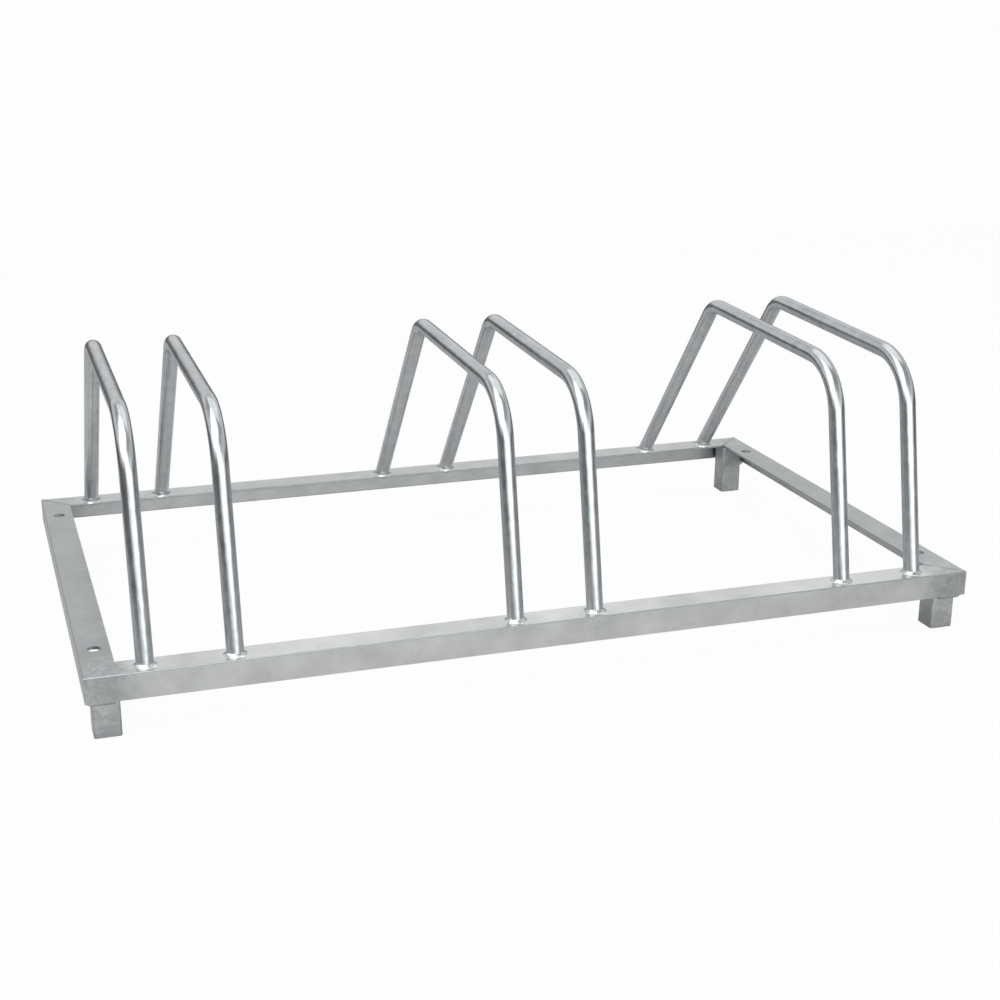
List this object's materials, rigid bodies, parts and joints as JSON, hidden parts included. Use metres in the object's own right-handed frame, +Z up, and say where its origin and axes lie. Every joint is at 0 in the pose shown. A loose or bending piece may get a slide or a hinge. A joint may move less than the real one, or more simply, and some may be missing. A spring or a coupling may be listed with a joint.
{
  "type": "bicycle rack",
  "caption": "Low floor standing bicycle rack: pairs of bent tube hoops that hold a wheel each, welded onto a mitred frame of steel angle on short square posts.",
  "frame": {"origin": "on the ground, at the middle of the frame's length and depth", "axes": "+X along the row of wheel places, +Y from the front rail to the rear rail, +Z up"},
  "size_m": [0.88, 0.53, 0.2896],
  "materials": {
    "galvanised_angle": "hot dip galvanised, satin, light grey",
    "galvanised_tube": "hot dip galvanised, semi-bright, lightly mottled",
    "galvanised_post": "hot dip galvanised, satin",
    "galvanised_weld": "galvanised weld bead, partly ground"
  },
  "bodies": {
    "root": {"front_rail": "galvanised_angle", "rear_rail": "galvanised_angle", "left_rail": "galvanised_angle", "right_rail": "galvanised_angle", "hoop_1": "galvanised_tube", "hoop_2": "galvanised_tube", "hoop_3": "galvanised_tube", "hoop_4": "galvanised_tube", "hoop_5": "galvanised_tube", "hoop_6": "galvanised_tube", "post_front_left": "galvanised_post", "post_front_right": "galvanised_post", "post_rear_left": "galvanised_post", "post_rear_right": "galvanised_post", "seam_weld_front_left": "galvanised_weld", "seam_weld_front_right": "galvanised_weld", "seam_weld_rear_left": "galvanised_weld", "seam_weld_rear_right": "galvanised_weld", "post_weld_front_left": "galvanised_weld", "post_weld_front_right": "galvanised_weld", "post_weld_rear_left": "galvanised_weld", "post_weld_rear_right": "galvanised_weld", "hoop_1_front_weld": "galvanised_weld", "hoop_2_front_weld": "galvanised_weld", "hoop_3_front_weld": "galvanised_weld", "hoop_4_front_weld": "galvanised_weld", "hoop_5_front_weld": "galvanised_weld", "hoop_6_front_weld": "galvanised_weld", "hoop_1_rear_weld": "galvanised_weld", "hoop_2_rear_weld": "galvanised_weld", "hoop_3_rear_weld": "galvanised_weld", "hoop_4_rear_weld": "galvanised_weld", "hoop_5_rear_weld": "galvanised_weld", "hoop_6_rear_weld": "galvanised_weld"}
  },
  "joints": []
}
